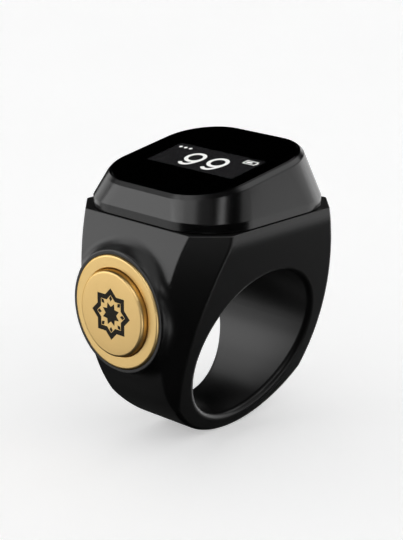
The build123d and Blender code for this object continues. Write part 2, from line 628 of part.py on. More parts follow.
def make_main_board():
    """Main circuit board on the four posts."""
    board = rounded_prism(BOARD_HALF_X, BOARD_HALF_Y, BOARD_CORNER, POST_TOP, BOARD_TOP)
    for x, y in post_spots():
        board -= Pos(x, y, 0) * disc(SCREW_RADIUS + SCREW_GAP, BAY_FLOOR, BOARD_TOP + OVERRUN)
    return board


def on_board(size, x, y):
    """Rectangular component standing on the main board."""
    return Pos(x, y, BOARD_TOP) * Box(*size, align=FROM_FLOOR)


def make_display_connector():
    """Connector with a slot that takes the display tail."""
    mouth = tail_path()[-1]
    y_span = (-CONNECTOR_HALF_Y, CONNECTOR_HALF_Y)
    shell = block((mouth, mouth + CONNECTOR_DEPTH), y_span, (BOARD_TOP, BOARD_TOP + CONNECTOR_HEIGHT))
    gap = TAIL_THICKNESS / 2 + CONNECTOR_SLOT_GAP
    slot_half = TAIL_HALF_WIDTH + CONNECTOR_SLOT_GAP
    slot_x = (mouth - OVERRUN, mouth + CONNECTOR_SLOT_DEPTH)
    return shell - block(slot_x, (-slot_half, slot_half), (TAIL_LEVEL - gap, TAIL_LEVEL + gap))


def make_passives():
    """Row of small resistors and capacitors."""
    row = PASSIVE_INSET - BOARD_HALF_Y
    places = [PASSIVE_X + PASSIVE_PITCH * step for step in range(PASSIVE_COUNT)]
    return as_group(on_board(PASSIVE_SIZE, x, row) for x in places)


def make_board_screws():
    """Four cross-head screws that hold the main board to the posts."""
    screw = disc(SCREW_RADIUS, BOARD_TOP - SCREW_LENGTH, BOARD_TOP)
    head_top = BOARD_TOP + SCREW_HEAD_HEIGHT
    screw += disc(SCREW_HEAD_RADIUS, BOARD_TOP, head_top)
    for angle in (0, 90):
        arm = Box(SCREW_CROSS_LENGTH, SCREW_CROSS_WIDTH, 2 * SCREW_CROSS_DEPTH)
        screw -= Pos(0, 0, head_top) * Rot(0, 0, angle) * arm
    return as_group(Pos(x, y, 0) * screw for x, y in post_spots())


def make_battery_cell():
    """Pouch cell lying over the bay floor."""
    high = CELL_FOOT + CELL_THICKNESS
    cell = block((-CELL_HALF_X, CELL_HALF_X), (-CELL_HALF_Y, CELL_HALF_Y), (CELL_FOOT, high))
    return cell.fillet(CELL_EDGE_ROUND, cell.edges())


def make_battery_tape():
    """Foam tape under the cell."""
    half_x = CELL_HALF_X - CELL_TAPE_INSET
    half_y = CELL_HALF_Y - CELL_TAPE_INSET
    return block((-half_x, half_x), (-half_y, half_y), (BAY_FLOOR, CELL_FOOT))


def make_battery_tabs():
    """Two bent tabs from the end of the cell up to the underside of the main board."""
    low = POST_TOP - TAB_DROP
    bend_y = CELL_HALF_Y + TAB_STANDOFF
    path = Polyline((CELL_HALF_Y, low), (bend_y, low), (bend_y, POST_TOP))
    tab = extrude(Plane.YZ * trace(path, TAB_THICKNESS), TAB_WIDTH / 2, both=True)
    return as_group(Pos(side * TAB_PITCH / 2, 0, 0) * tab for side in (1, -1))


def at_motor(shape):
    """A piece drawn about its own axis, moved to the motor."""
    return Pos(MOTOR_X, 0, BOARD_TOP) * shape


def make_motor_base():
    """Base plate of the vibration motor."""
    return at_motor(disc(MOTOR_RADIUS, 0, MOTOR_BASE))


def make_motor_case():
    """Cup that closes the vibration motor."""
    cup = disc(MOTOR_RADIUS, MOTOR_BASE, MOTOR_HEIGHT)
    cup -= disc(MOTOR_RADIUS - MOTOR_WALL, MOTOR_BASE - OVERRUN, MOTOR_HEIGHT - MOTOR_WALL)
    return at_motor(cup)


def make_motor_shaft():
    """Fixed shaft between base plate and cup."""
    return at_motor(disc(MOTOR_SHAFT_RADIUS, MOTOR_BASE, MOTOR_HEIGHT - MOTOR_WALL))


def make_motor_rotor():
    """Half-round weight that spins on the shaft and shakes the counter."""
    low = MOTOR_BASE + ROTOR_END_GAP
    high = MOTOR_HEIGHT - MOTOR_WALL - ROTOR_END_GAP
    radius = MOTOR_RADIUS - MOTOR_WALL - ROTOR_RIM_GAP
    weight = disc(radius, low, high)
    weight -= block((-radius, radius), (-radius, 0), (low, high))
    weight += disc(ROTOR_HUB_RADIUS, low, high)
    weight -= disc(MOTOR_SHAFT_RADIUS + ROTOR_BORE_GAP, -OVERRUN, OVERRUN)
    return at_motor(weight)


def make_trim_ring():
    """Metal trim ring glued into the boss around the cap."""
    ring = disc(TRIM_RADIUS, TRIM_SEAT, TRIM_FACE) - disc(TRIM_BORE_RADIUS, 0, TRIM_FACE + OVERRUN)
    edges = ring.edges().group_by(Axis.Z)[-1].sort_by(SortBy.RADIUS)
    ring = ring.fillet(TRIM_OUTER_ROUND, [edges[-1]])
    inner = ring.edges().group_by(Axis.Z)[-1].sort_by(SortBy.RADIUS)
    return BUTTON_PLANE * ring.fillet(TRIM_INNER_ROUND, [inner[0]])


def make_button_cap():
    """Metal cap with a retaining flange behind the trim ring and a stem to the switch."""
    cap = disc(CAP_RADIUS, FLANGE_BACK, CAP_FACE)
    cap = cap.fillet(CAP_EDGE_ROUND, cap.edges().group_by(Axis.Z)[-1])
    cap += disc(CAP_FLANGE_RADIUS, FLANGE_BACK, FLANGE_FRONT)
    cap += disc(STEM_RADIUS, STEM_TIP, FLANGE_BACK)
    return BUTTON_PLANE * cap


def make_button_seal():
    """Rubber ring around the stem in its gland."""
    level = SEAL_GLAND_FLOOR + SEAL_CORD_RADIUS
    return BUTTON_PLANE * Pos(0, 0, level) * Torus(SEAL_CENTRE_RADIUS, SEAL_CORD_RADIUS)


def make_switch_housing():
    """Box of the push switch with a round well for the plunger and dome."""
    width = (-SWITCH_HALF_Y, SWITCH_HALF_Y)
    height = (-SWITCH_HALF_Z, SWITCH_HALF_Z)
    shell = block(width, height, (SIDE_BOARD_FRONT, SWITCH_FRONT))
    shell -= disc(SWITCH_WELL_RADIUS, SWITCH_WELL_FLOOR, SWITCH_WELL_ROOF)
    shell -= disc(PLUNGER_RADIUS + PLUNGER_GAP, SWITCH_WELL_FLOOR, SWITCH_FRONT + OVERRUN)
    return BUTTON_PLANE * shell


def make_switch_plunger():
    """Plunger of the push switch, held in by its flange."""
    plunger = disc(PLUNGER_RADIUS, PLUNGER_FOOT, PLUNGER_TIP)
    plunger += disc(PLUNGER_FLANGE_RADIUS, PLUNGER_FOOT, PLUNGER_SHELF)
    return BUTTON_PLANE * plunger


def make_snap_dome():
    """Thin domed spring disc under the plunger."""
    height = DOME_CROWN - SWITCH_WELL_FLOOR
    outer = (DOME_RADIUS**2 + height**2) / (2 * height)
    centre = DOME_CROWN - outer
    ball = Pos(0, 0, centre) * (Sphere(outer) - Sphere(outer - DOME_SHEET))
    return BUTTON_PLANE * (ball & disc(BORE_RADIUS, SWITCH_WELL_FLOOR, SWITCH_FRONT))


def side_board(half_y, side):
    """Small upright board in a side slot."""
    x_span = sorted((side * SLOT_INNER, side * SIDE_BOARD_FRONT))
    return block(x_span, (-half_y, half_y), (SIDE_BOARD_FOOT, SIDE_BOARD_TOP))


def side_flex(side):
    """Flexible circuit from a side board up and under the main board."""
    upright = SIDE_BOARD_FRONT + FLEX_THICKNESS / 2
    foot = SIDE_BOARD_TOP - FLEX_LAP
    level = POST_TOP - FLEX_THICKNESS / 2
    radius = FLEX_BEND_RADIUS + FLEX_THICKNESS / 2
    slant = radius * math.sqrt(1 / 2)
    centre = (upright - radius, level - radius)
    path = [
        Line((side * upright, foot), (side * upright, centre[1])),
        ThreePointArc(
            (side * upright, centre[1]),
            (side * (centre[0] + slant), centre[1] + slant),
            (side * centre[0], level),
        ),
        Line((side * centre[0], level), (side * (upright - FLEX_REACH), level)),
    ]
    return strip(Wire(path), FLEX_THICKNESS, FLEX_HALF_WIDTH)


def make_charge_pins():
    """Two headed contact pins, a little below the floor of the charging seat."""
    top = CHARGE_SEAT - PIN_SUNK
    pin = disc(PIN_SHANK_RADIUS, SIDE_BOARD_FRONT, top) + disc(PIN_RADIUS, top - PIN_HEAD, top)
    return as_group(CHARGE_PLANE * Pos(side * PIN_PITCH / 2, 0, 0) * pin for side in (1, -1))


def make_charge_magnets():
    """Two magnets behind the charging seat."""
    magnet = disc(MAGNET_RADIUS, SLOT_OUTER, SLOT_OUTER + MAGNET_THICKNESS)
    return as_group(CHARGE_PLANE * Pos(side * MAGNET_PITCH / 2, 0, 0) * magnet for side in (1, -1))


# Places of the chips along the board
chip_x = tail_path()[-1] + CONNECTOR_DEPTH + CHIP_GAP + PROCESSOR_SIZE[0] / 2
crystal_x = chip_x + PROCESSOR_SIZE[0] / 2 + CRYSTAL_CHIP_GAP + CRYSTAL_SIZE[0] / 2
antenna_x = SCREW_HEAD_RADIUS - POST_X + ANTENNA_SCREW_GAP + ANTENNA_SIZE[0] / 2

NODES = {
    "ring_body": make_ring_body(),
    "bezel": make_bezel(),
    "bezel_gasket": make_bezel_gasket(),
    "cover_glass": make_cover_glass(),
    "glass_tape": make_glass_tape(),
    "display_tape": make_display_tape(),
    "display_panel": make_display_panel(),
    "display_driver": make_display_driver(),
    "display_tail": make_display_tail(),
    "display_connector": make_display_connector(),
    "main_board": make_main_board(),
    "processor_chip": on_board(PROCESSOR_SIZE, chip_x, BOARD_HALF_Y - PROCESSOR_INSET),
    "charger_chip": on_board(CHARGER_SIZE, chip_x, CHARGER_INSET - BOARD_HALF_Y),
    "crystal_can": on_board(CRYSTAL_SIZE, crystal_x, BOARD_HALF_Y - CRYSTAL_INSET),
    "chip_antenna": on_board(ANTENNA_SIZE, antenna_x, BOARD_HALF_Y - ANTENNA_INSET),
    "passives": make_passives(),
    "board_screws": make_board_screws(),
    "battery_cell": make_battery_cell(),
    "battery_tape": make_battery_tape(),
    "battery_tabs": make_battery_tabs(),
    "motor_base": make_motor_base(),
    "motor_case": make_motor_case(),
    "motor_shaft": make_motor_shaft(),
    "motor_rotor": make_motor_rotor(),
    "trim_ring": make_trim_ring(),
    "button_cap": make_button_cap(),
    "button_seal": make_button_seal(),
    "switch_housing": make_switch_housing(),
    "switch_plunger": make_switch_plunger(),
    "snap_dome": make_snap_dome(),
    "switch_board": side_board(SWITCH_BOARD_HALF_Y, -1),
    "switch_flex": side_flex(-1),
    "charge_board": side_board(CHARGE_BOARD_HALF_Y, 1),
    "charge_flex": side_flex(1),
    "charge_pins": make_charge_pins(),
    "charge_magnets": make_charge_magnets(),
}

os.makedirs("parts", exist_ok=True)
for name, shape in NODES.items():
    export_step(shape, f"parts/{name}.step")
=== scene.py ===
"""Digital tally counter worn as a finger ring: its looks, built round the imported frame.

The finger lies along Y, the button faces -X and the display looks up and a little towards -X.
Sizes are given in millimetres and turned into metres where a mesh is made.
"""

import logging
import math
from dataclasses import dataclass, field
from enum import Enum
from typing import Callable

import bmesh
import bpy
from mathutils import Matrix, Vector


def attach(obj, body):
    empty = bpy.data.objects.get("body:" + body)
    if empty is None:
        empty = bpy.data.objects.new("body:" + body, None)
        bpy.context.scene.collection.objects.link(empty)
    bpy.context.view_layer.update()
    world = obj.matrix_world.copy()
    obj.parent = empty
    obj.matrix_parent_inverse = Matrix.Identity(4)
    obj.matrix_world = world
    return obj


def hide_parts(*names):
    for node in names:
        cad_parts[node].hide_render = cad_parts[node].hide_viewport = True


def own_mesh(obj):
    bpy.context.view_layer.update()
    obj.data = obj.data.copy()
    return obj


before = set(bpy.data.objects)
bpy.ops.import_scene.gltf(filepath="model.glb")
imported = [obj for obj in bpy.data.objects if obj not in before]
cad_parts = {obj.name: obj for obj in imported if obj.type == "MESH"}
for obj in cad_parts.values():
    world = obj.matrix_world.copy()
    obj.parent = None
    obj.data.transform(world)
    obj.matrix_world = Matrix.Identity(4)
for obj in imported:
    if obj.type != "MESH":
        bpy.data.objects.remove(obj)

MM = 0.001
SMOOTH_ANGLE = math.radians(35)
BUTTON_HEIGHT = 6.15
BUTTON_AXIS = (0.0, 0.0, BUTTON_HEIGHT)
LOG = logging.getLogger("tally_ring")
Colour = tuple[float, float, float]
Spot = tuple[float, float, float]
Pair = tuple[float, float]


class Pattern(Enum):
    """Kinds of surface detail that a finish can carry."""

    CLOUD = "soft uneven cloud"
    GRAIN = "fine moulded grain"
    TURNED = "fine turned rings"
    TRACKS = "printed circuit tracks"
    STRIPES = "parallel conductors"
    CRINKLE = "crumpled foil"
    PORES = "open foam pores"


class Side(Enum):
    """Ways that a turned pattern can face, as the turn that takes its axis from Z."""

    SIDEWAYS = (0.0, math.pi / 2, 0.0)
    UP = (0.0, 0.0, 0.0)


class Element(Enum):
    """Elements of a mesh that can be picked, by Blender's own names."""

    POINT = "VERT"
    EDGE = "EDGE"
    FACE = "FACE"


@dataclass(frozen=True)
class Finish:
    """One procedural finish, with colours in linear light and lengths in millimetres."""

    name: str
    dark: Colour
    light: Colour
    rough: Pair
    pattern: Pattern = Pattern.CLOUD
    pitch: float = 1.0
    relief: float = 0.0
    metallic: float = 0.0
    specular: float = 0.5
    edge_tint: Colour = (1.0, 1.0, 1.0)
    coat: float = 0.0
    coat_rough: float = 0.05
    glow: float = 0.0
    centre: Spot = (0.0, 0.0, 0.0)
    facing: Side = Side.UP

    def material(self) -> bpy.types.Material:
        """Builds the node graph of the finish.

        Returns:
            The finished material.
        """
        made = bpy.data.materials.new(self.name)
        made.use_nodes = True
        nodes = made.node_tree.nodes
        links = made.node_tree.links
        shader = nodes["Principled BSDF"]
        mask = self._mask(nodes, links)
        ramp = nodes.new("ShaderNodeValToRGB")
        ramp.color_ramp.elements[0].color = (*self.dark, 1.0)
        ramp.color_ramp.elements[1].color = (*self.light, 1.0)
        links.new(mask, ramp.inputs["Fac"])
        links.new(ramp.outputs["Color"], shader.inputs["Base Color"])
        spread = nodes.new("ShaderNodeMapRange")
        spread.inputs["To Min"].default_value = self.rough[0]
        spread.inputs["To Max"].default_value = self.rough[1]
        links.new(mask, spread.inputs["Value"])
        links.new(spread.outputs["Result"], shader.inputs["Roughness"])
        if self.relief:
            bump = nodes.new("ShaderNodeBump")
            bump.inputs["Distance"].default_value = self.relief * MM
            links.new(mask, bump.inputs["Height"])
            links.new(bump.outputs["Normal"], shader.inputs["Normal"])
        shader.inputs["Metallic"].default_value = self.metallic
        shader.inputs["Specular IOR Level"].default_value = self.specular
        shader.inputs["Specular Tint"].default_value = (*self.edge_tint, 1.0)
        shader.inputs["Coat Weight"].default_value = self.coat
        shader.inputs["Coat Roughness"].default_value = self.coat_rough
        if self.glow:
            shader.inputs["Emission Color"].default_value = (*self.light, 1.0)
            shader.inputs["Emission Strength"].default_value = self.glow
        return made

    def _mask(self, nodes: bpy.types.Nodes, links: bpy.types.NodeLinks) -> bpy.types.NodeSocket:
        """Makes the grey pattern that drives colour, roughness and relief.

        Args:
            nodes: Nodes of the material.
            links: Links of the material.

        Returns:
            The socket that carries the pattern, from 0 to 1.
        """
        place = nodes.new("ShaderNodeTexCoord")
        centred = nodes.new("ShaderNodeMapping")
        centred.vector_type = "TEXTURE"
        centred.inputs["Location"].default_value = [length * MM for length in self.centre]
        centred.inputs["Rotation"].default_value = self.facing.value
        links.new(place.outputs["Object"], centred.inputs["Vector"])
        scale = 1.0 / (self.pitch * MM)
        makers = {
            Pattern.CLOUD: ("ShaderNodeTexNoise", {"Detail": 3.0, "Roughness": 0.55}, "Fac", {}),
            Pattern.GRAIN: ("ShaderNodeTexNoise", {"Detail": 6.0, "Roughness": 0.7}, "Fac", {}),
            Pattern.TURNED: (
                "ShaderNodeTexWave",
                {"Distortion": 0.6, "Detail": 3.0, "Detail Scale": 0.4},
                "Fac",
                {"wave_type": "RINGS", "rings_direction": "Z"},
            ),
            Pattern.TRACKS: (
                "ShaderNodeTexBrick",
                {"Mortar Size": 0.06, "Mortar Smooth": 0.2, "Brick Width": 1.3, "Row Height": 0.45},
                "Fac",
                {"offset": 0.37},
            ),
            Pattern.STRIPES: (
                "ShaderNodeTexWave",
                {"Distortion": 0.0},
                "Fac",
                {"wave_type": "BANDS", "bands_direction": "Y"},
            ),
            Pattern.CRINKLE: (
                "ShaderNodeTexVoronoi",
                {"Randomness": 1.0},
                "Distance",
                {"feature": "SMOOTH_F1"},
            ),
            Pattern.PORES: (
                "ShaderNodeTexVoronoi",
                {"Randomness": 0.9},
                "Distance",
                {"feature": "F1"},
            ),
        }
        kind, values, outlet, options = makers[self.pattern]
        texture = nodes.new(kind)
        for option, choice in options.items():
            setattr(texture, option, choice)
        for socket, value in values.items():
            texture.inputs[socket].default_value = value
        texture.inputs["Scale"].default_value = scale
        links.new(centred.outputs["Vector"], texture.inputs["Vector"])
        return texture.outputs[outlet]


GOLD_EDGE: Colour = (0.80, 0.56, 0.20)

FINISHES: dict[str, Finish] = {
    finish.name: finish
    for finish in (
        Finish("satin_black_body", (0.0012, 0.0012, 0.0013), (0.0022, 0.0022, 0.0023), (0.32, 0.38),
               Pattern.GRAIN, pitch=0.22, relief=0.0010),
        Finish("satin_black_bezel", (0.0010, 0.0010, 0.0011), (0.0018, 0.0018, 0.0019), (0.20, 0.25),
               Pattern.GRAIN, pitch=0.3, relief=0.0004),
        Finish("black_cover_glass", (0.0002, 0.0002, 0.0002), (0.0004, 0.0004, 0.0004), (0.02, 0.05),
               pitch=4.0, specular=0.35),
        Finish("gold_cap", (0.69, 0.475, 0.197), (0.75, 0.535, 0.236), (0.36, 0.44),
               Pattern.TURNED, pitch=0.5, relief=0.0008, metallic=1.0, edge_tint=GOLD_EDGE,
               centre=BUTTON_AXIS, facing=Side.SIDEWAYS),
        Finish("gold_trim", (0.70, 0.485, 0.198), (0.76, 0.545, 0.24), (0.33, 0.41),
               Pattern.TURNED, pitch=0.5, relief=0.0008, metallic=1.0, edge_tint=GOLD_EDGE,
               centre=BUTTON_AXIS, facing=Side.SIDEWAYS),
        Finish("etched_umber", (0.010, 0.008, 0.005), (0.019, 0.016, 0.011), (0.6, 0.8),
               Pattern.GRAIN, pitch=0.12, relief=0.003, specular=0.12),
        Finish("display_grey", (0.018, 0.018, 0.019), (0.021, 0.021, 0.022), (0.05, 0.09),
               Pattern.STRIPES, pitch=0.14, coat=0.3),
        Finish("display_white", (0.80, 0.80, 0.78), (0.86, 0.86, 0.84), (0.05, 0.09),
               Pattern.STRIPES, pitch=0.14, glow=0.25),
        Finish("gasket_rubber", (0.004, 0.004, 0.004), (0.009, 0.009, 0.009), (0.7, 0.85),
               Pattern.GRAIN, pitch=0.15, relief=0.002),
        Finish("black_adhesive", (0.006, 0.006, 0.006), (0.012, 0.012, 0.012), (0.5, 0.65),
               pitch=0.6, relief=0.003),
        Finish("clear_adhesive", (0.30, 0.31, 0.32), (0.38, 0.39, 0.40), (0.15, 0.25),
               pitch=1.2),
        Finish("panel_glass", (0.010, 0.011, 0.013), (0.020, 0.022, 0.026), (0.08, 0.14),
               Pattern.STRIPES, pitch=0.2),
        Finish("driver_silicon", (0.05, 0.055, 0.065), (0.11, 0.12, 0.14), (0.12, 0.22),
               Pattern.TRACKS, pitch=0.3, metallic=0.6),
        Finish("amber_flex", (0.30, 0.11, 0.014), (0.55, 0.27, 0.06), (0.28, 0.38),
               Pattern.STRIPES, pitch=0.35, relief=0.004),
        Finish("connector_plastic", (0.36, 0.33, 0.27), (0.45, 0.42, 0.35), (0.4, 0.52),
               Pattern.GRAIN, pitch=0.3, relief=0.003),
        Finish("green_board", (0.006, 0.045, 0.018), (0.020, 0.125, 0.050), (0.28, 0.40),
               Pattern.TRACKS, pitch=1.1, relief=0.012),
        Finish("chip_epoxy", (0.010, 0.010, 0.011), (0.022, 0.022, 0.023), (0.5, 0.64),
               Pattern.GRAIN, pitch=0.14, relief=0.004),
        Finish("crystal_steel", (0.50, 0.50, 0.49), (0.62, 0.62, 0.61), (0.22, 0.34),
               Pattern.STRIPES, pitch=0.12, metallic=1.0),
        Finish("antenna_ceramic", (0.62, 0.60, 0.55), (0.74, 0.72, 0.67), (0.42, 0.55),
               Pattern.GRAIN, pitch=0.2, relief=0.002),
        Finish("passive_ceramic", (0.26, 0.17, 0.10), (0.40, 0.28, 0.18), (0.4, 0.55),
               Pattern.GRAIN, pitch=0.25, relief=0.002),
        Finish("screw_steel", (0.42, 0.42, 0.43), (0.58, 0.58, 0.58), (0.25, 0.36),
               Pattern.GRAIN, pitch=0.2, relief=0.002, metallic=1.0),
        Finish("cell_foil", (0.52, 0.52, 0.53), (0.68, 0.68, 0.69), (0.22, 0.40),
               Pattern.CRINKLE, pitch=1.6, relief=0.02, metallic=1.0),
        Finish("foam_tape", (0.02, 0.02, 0.02), (0.05, 0.05, 0.05), (0.8, 0.95),
               Pattern.PORES, pitch=0.25, relief=0.02),
        Finish("tab_nickel", (0.50, 0.48, 0.44), (0.64, 0.62, 0.57), (0.24, 0.34),
               Pattern.STRIPES, pitch=0.1, metallic=1.0),
        Finish("motor_steel", (0.46, 0.46, 0.47), (0.60, 0.60, 0.61), (0.2, 0.32),
               Pattern.GRAIN, pitch=0.2, relief=0.002, metallic=1.0),
        Finish("rotor_tungsten", (0.20, 0.20, 0.21), (0.32, 0.32, 0.33), (0.35, 0.5),
               Pattern.GRAIN, pitch=0.15, relief=0.004, metallic=1.0),
        Finish("seal_silicone", (0.10, 0.022, 0.016), (0.16, 0.035, 0.026), (0.45, 0.58),
               pitch=0.8, relief=0.002),
        Finish("plunger_plastic", (0.55, 0.54, 0.50), (0.66, 0.65, 0.61), (0.36, 0.46),
               Pattern.GRAIN, pitch=0.2, relief=0.002),
        Finish("switch_plastic", (0.014, 0.014, 0.015), (0.026, 0.026, 0.027), (0.42, 0.52),
               Pattern.GRAIN, pitch=0.16, relief=0.003),
        Finish("dome_steel", (0.55, 0.55, 0.54), (0.68, 0.68, 0.67), (0.16, 0.26),
               Pattern.GRAIN, pitch=0.2, relief=0.001, metallic=1.0),
        Finish("pin_brass", (0.72, 0.50, 0.22), (0.82, 0.60, 0.29), (0.2, 0.3),
               Pattern.GRAIN, pitch=0.2, relief=0.001, metallic=1.0),
        Finish("magnet_nickel", (0.54, 0.53, 0.51), (0.66, 0.65, 0.63), (0.14, 0.24),
               pitch=0.8, metallic=1.0),
        Finish("pale_floor", (0.86, 0.86, 0.86), (0.88, 0.88, 0.88), (0.7, 0.8),
               pitch=40.0, specular=0.2, glow=0.43),
    )
}

NODE_FINISH: dict[str, str] = {
    "ring_body": "satin_black_body",
    "bezel": "satin_black_bezel",
    "bezel_gasket": "gasket_rubber",
    "cover_glass": "black_cover_glass",
    "glass_tape": "black_adhesive",
    "display_tape": "clear_adhesive",
    "display_panel": "panel_glass",
    "display_driver": "driver_silicon",
    "display_tail": "amber_flex",
    "display_connector": "connector_plastic",
    "main_board": "green_board",
    "processor_chip": "chip_epoxy",
    "charger_chip": "chip_epoxy",
    "crystal_can": "crystal_steel",
    "chip_antenna": "antenna_ceramic",
    "passives": "passive_ceramic",
    "board_screws": "screw_steel",
    "battery_cell": "cell_foil",
    "battery_tape": "foam_tape",
    "battery_tabs": "tab_nickel",
    "motor_base": "motor_steel",
    "motor_case": "motor_steel",
    "motor_shaft": "screw_steel",
    "motor_rotor": "rotor_tungsten",
    "trim_ring": "gold_trim",
    "button_cap": "gold_cap",
    "button_seal": "seal_silicone",
    "switch_housing": "switch_plastic",
    "switch_plunger": "plunger_plastic",
    "snap_dome": "dome_steel",
    "switch_board": "green_board",
    "switch_flex": "amber_flex",
    "charge_board": "green_board",
    "charge_flex": "amber_flex",
    "charge_pins": "pin_brass",
    "charge_magnets": "magnet_nickel",
}


class Paints:
    """Keeps one material for each finish and puts it on pieces."""

    def __init__(self) -> None:
        """Starts with no materials made."""
        self._made: dict[str, bpy.types.Material] = {}

    def dress(self, piece: bpy.types.Object, finish: str) -> None:
        """Gives a piece one finish all over.

        Args:
            piece: Mesh object to dress.
            finish: Name of the finish.
        """
        if finish not in self._made:
            self._made[finish] = FINISHES[finish].material()
        piece.data.materials.clear()
        piece.data.materials.append(self._made[finish])


class Bench:
    """Hand tools that the modelled pieces share."""

    @staticmethod
    def clear() -> None:
        """Leaves nothing selected."""
        bpy.ops.object.select_all(action="DESELECT")

    @staticmethod
    def hold(*pieces: bpy.types.Object) -> None:
        """Selects only these pieces, with the first one active.

        Args:
            pieces: Objects to select.
        """
        Bench.clear()
        for piece in pieces:
            piece.select_set(True)
        bpy.context.view_layer.objects.active = pieces[0]

    @staticmethod
    def edit(piece: bpy.types.Object) -> None:
        """Opens one piece in edit mode with nothing selected.

        Args:
            piece: Object to work on.
        """
        Bench.hold(piece)
        bpy.ops.object.mode_set(mode="EDIT")
        bpy.ops.mesh.select_all(action="DESELECT")

    @staticmethod
    def whole() -> None:
        """Selects every face of the open piece."""
        bpy.ops.mesh.select_mode(type="FACE")
        bpy.ops.mesh.select_all(action="SELECT")

    @staticmethod
    def extrude(move: Spot) -> None:
        """Draws the selection out along a straight line, given in millimetres."""
        value = tuple(length * MM for length in move)
        bpy.ops.mesh.extrude_region_move(TRANSFORM_OT_translate={"value": value})

    @staticmethod
    def close() -> None:
        """Points the faces outwards and goes back to object mode."""
        bpy.ops.mesh.select_all(action="SELECT")
        bpy.ops.mesh.normals_make_consistent(inside=False)
        bpy.ops.object.mode_set(mode="OBJECT")

    @staticmethod
    def settle(piece: bpy.types.Object, name: str) -> bpy.types.Object:
        """Names a piece and puts its place into its mesh.

        Args:
            piece: Object to settle.
            name: Name of the piece.

        Returns:
            The same object, at the origin, unturned and unscaled.
        """
        Bench.hold(piece)
        bpy.ops.object.transform_apply(location=True, rotation=True, scale=True)
        piece.name = name
        piece.data.name = name
        return piece

    @staticmethod
    def copy(piece: bpy.types.Object) -> bpy.types.Object:
        """Copies a piece, with a mesh of its own.

        Args:
            piece: Object to copy.

        Returns:
            The copy.
        """
        twin = piece.copy()
        twin.data = piece.data.copy()
        bpy.context.collection.objects.link(twin)
        return twin

    @staticmethod
    def join(pieces: list[bpy.types.Object], name: str) -> bpy.types.Object:
        """Makes one piece of several.

        Args:
            pieces: Objects to join; the first one takes up the others.
            name: Name of the joined piece.

        Returns:
            The joined piece.
        """
        Bench.hold(*pieces)
        bpy.ops.object.join()
        return Bench.settle(pieces[0], name)

    @staticmethod
    def pick(piece: bpy.types.Object, kind: Element, test: Callable[[Vector], bool]) -> None:
        """Selects the points, edges or faces whose points all pass a test.

        Args:
            piece: Object in edit mode.
            kind: Elements to pick from.
            test: Says whether a point belongs to the pick.
        """
        bpy.ops.mesh.select_mode(type=kind.value)
        bpy.ops.mesh.select_all(action="DESELECT")
        work = bmesh.from_edit_mesh(piece.data)
        choices = {Element.POINT: work.verts, Element.EDGE: work.edges, Element.FACE: work.faces}
        for item in choices[kind]:
            points = [item] if kind is Element.POINT else item.verts
            if all(test(point.co) for point in points):
                item.select_set(True)
        work.select_flush_mode()
        bmesh.update_edit_mesh(piece.data)

    @staticmethod
    def disc(radius: float, front: float, height: float, sides: int, name: str) -> bpy.types.Object:
        """Lays a flat disc that faces -X.

        Args:
            radius: Radius of the disc.
            front: Distance of its face from the finger axis.
            height: Height of its middle.
            sides: How many corners its edge has.
            name: Name of the piece.

        Returns:
            The disc, as one face.
        """
        Bench.clear()
        bpy.ops.mesh.primitive_circle_add(
            vertices=sides,
            radius=radius * MM,
            fill_type="NGON",
            location=(-front * MM, 0.0, height * MM),
            rotation=(0.0, -math.pi / 2, 0.0),
        )
        return Bench.settle(bpy.context.object, name)

    @staticmethod
    def draw(start: float, end: float, height: float, growth: float) -> None:
        """Draws the selected face along X, then widens or narrows it.

        Args:
            start: Distance of the face from the finger axis.
            end: Distance that the face moves to.
            height: Height of the axis that the face grows about.
            growth: Share by which the face grows.
        """
        Bench.extrude((start - end, 0.0, 0.0))
        hub = Vector((-end, 0.0, height)) * MM
        bpy.ops.transform.resize(value=(1.0, growth, growth), center_override=hub)


